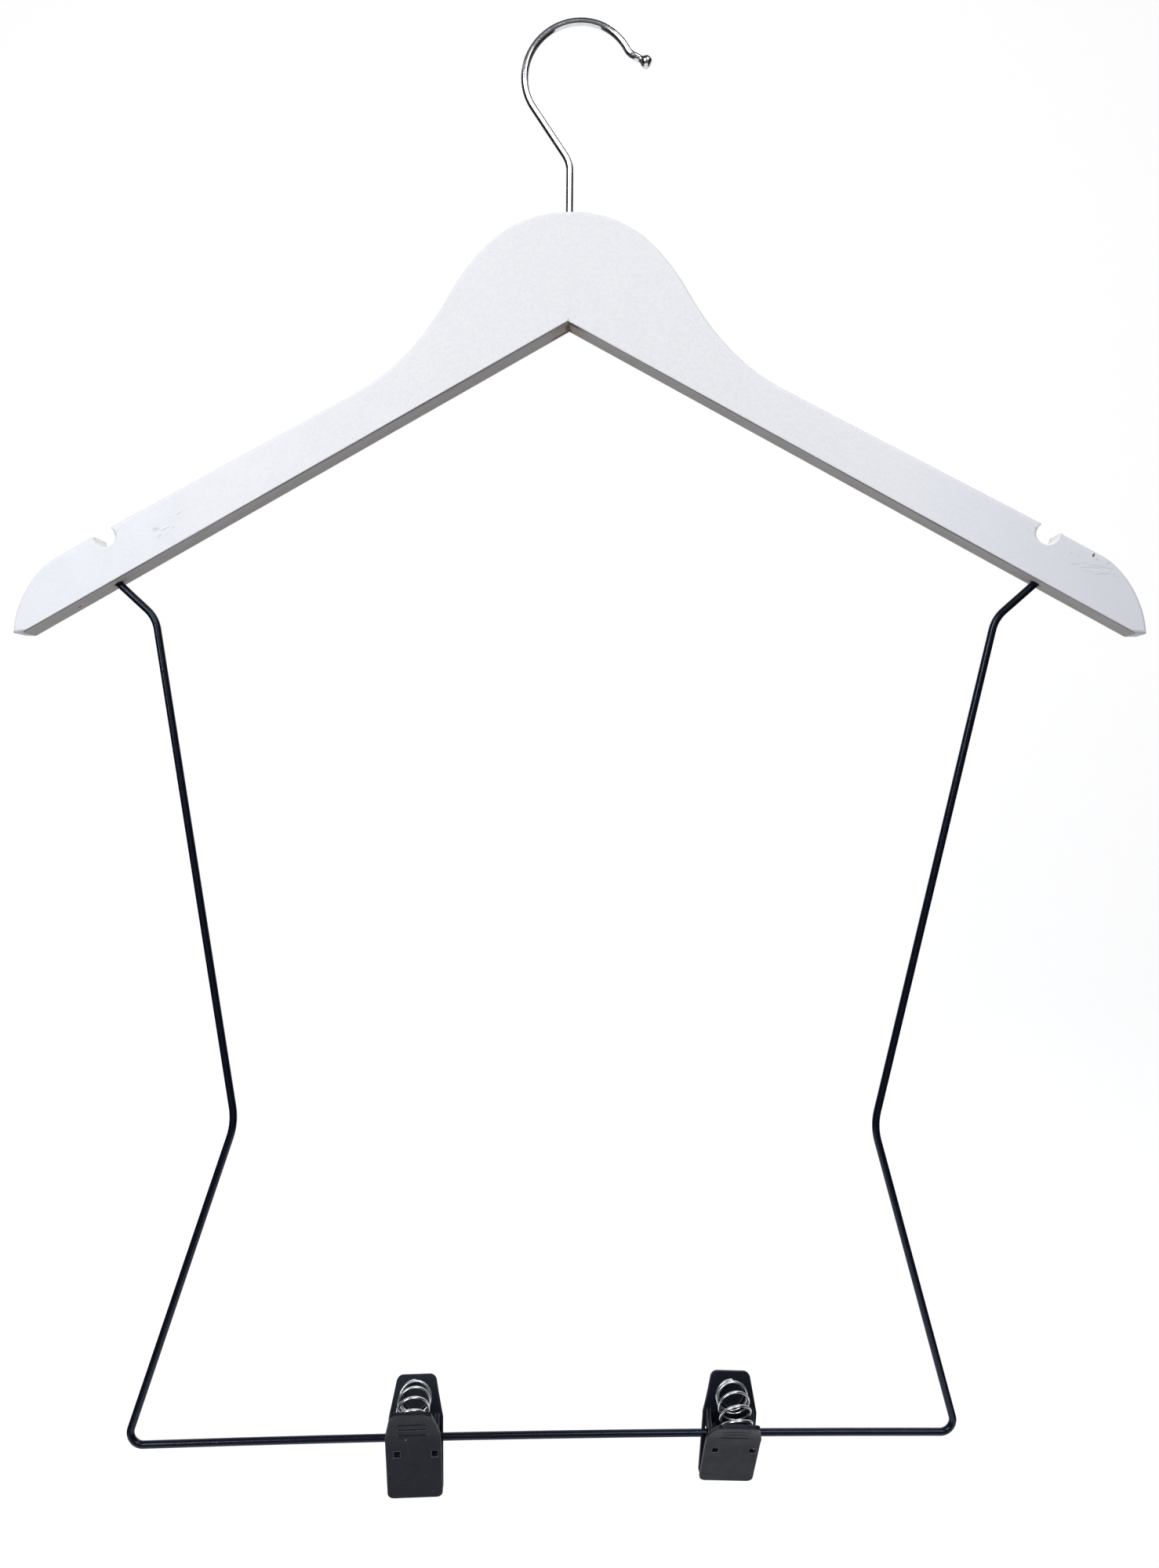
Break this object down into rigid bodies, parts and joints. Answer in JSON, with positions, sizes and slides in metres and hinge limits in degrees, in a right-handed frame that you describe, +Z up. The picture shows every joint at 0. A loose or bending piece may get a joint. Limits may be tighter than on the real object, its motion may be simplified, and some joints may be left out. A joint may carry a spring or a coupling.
{
  "type": "clip hanger",
  "caption": "Two-piece wooden clothes hanger with a swivelling wire hook, strap notches, a wire torso frame and spring clips that slide on its lower bar.",
  "frame": {"origin": "the underside of the hook's crown, where the hook rests on a rail", "axes": "+Z up, +X to the right along the wooden shoulders, -Y towards the viewer of the picture"},
  "size_m": [0.4466, 0.0374, 0.5879],
  "materials": {
    "painted_wood": "white satin paint over pale wood",
    "hook_chrome": "bright chrome plate",
    "swivel_steel": "zinc plate",
    "black_coating": "semi-gloss black coating on steel wire",
    "clip_plastic": "charcoal, finely grained",
    "spring_steel": "bright spring wire"
  },
  "bodies": {
    "hook": {"hook": "hook_chrome", "hook_nut": "swivel_steel"},
    "hanger": {"left_shoulder": "painted_wood", "right_shoulder": "painted_wood", "hook_washer": "swivel_steel", "wire_frame": "black_coating"},
    "left_clip_carriage": {"left_clip_spring": "spring_steel"},
    "left_clip_rear": {"left_clip_rear_plate": "clip_plastic"},
    "left_clip_front": {"left_clip_front_plate": "clip_plastic"},
    "right_clip_carriage": {"right_clip_spring": "spring_steel"},
    "right_clip_rear": {"right_clip_rear_plate": "clip_plastic"},
    "right_clip_front": {"right_clip_front_plate": "clip_plastic"}
  },
  "joints": [
    {"name": "hook_swivel", "type": "hinge", "parent": "hook", "child": "hanger", "pos_m": [-0.0034, 0, -0.0763], "axis": [0, 0, 1], "continuous": true},
    {"name": "left_clip_slide", "type": "slide", "parent": "hanger", "child": "left_clip_carriage", "axis": [0.9957, 0.0924, 0], "range_m": [-0.085, 0.035]},
    {"name": "left_clip_turn", "type": "hinge", "parent": "left_clip_carriage", "child": "left_clip_rear", "pos_m": [-0.06098, -0.00485, -0.5615], "axis": [0.9955, 0.0924, 0.0209], "continuous": true},
    {"name": "left_clip_open", "type": "hinge", "parent": "left_clip_rear", "child": "left_clip_front", "pos_m": [-0.06098, -0.00485, -0.5615], "axis": [-0.9955, -0.0924, -0.0209], "range_deg": [0, 20], "stiffness_Nm_per_rad": 0.05, "springref_deg": -28.65, "deforming": ["left_clip_spring"]},
    {"name": "right_clip_slide", "type": "slide", "parent": "hanger", "child": "right_clip_carriage", "axis": [0.9957, 0.0924, 0], "range_m": [-0.057, 0.063]},
    {"name": "right_clip_turn", "type": "hinge", "parent": "right_clip_carriage", "child": "right_clip_rear", "pos_m": [0.06439, 0.00678, -0.5615], "axis": [0.995, 0.0923, -0.0384], "continuous": true},
    {"name": "right_clip_open", "type": "hinge", "parent": "right_clip_rear", "child": "right_clip_front", "pos_m": [0.06439, 0.00678, -0.5615], "axis": [-0.995, -0.0923, 0.0384], "range_deg": [0, 20], "stiffness_Nm_per_rad": 0.05, "springref_deg": -28.65, "deforming": ["right_clip_spring"]}
  ]
}
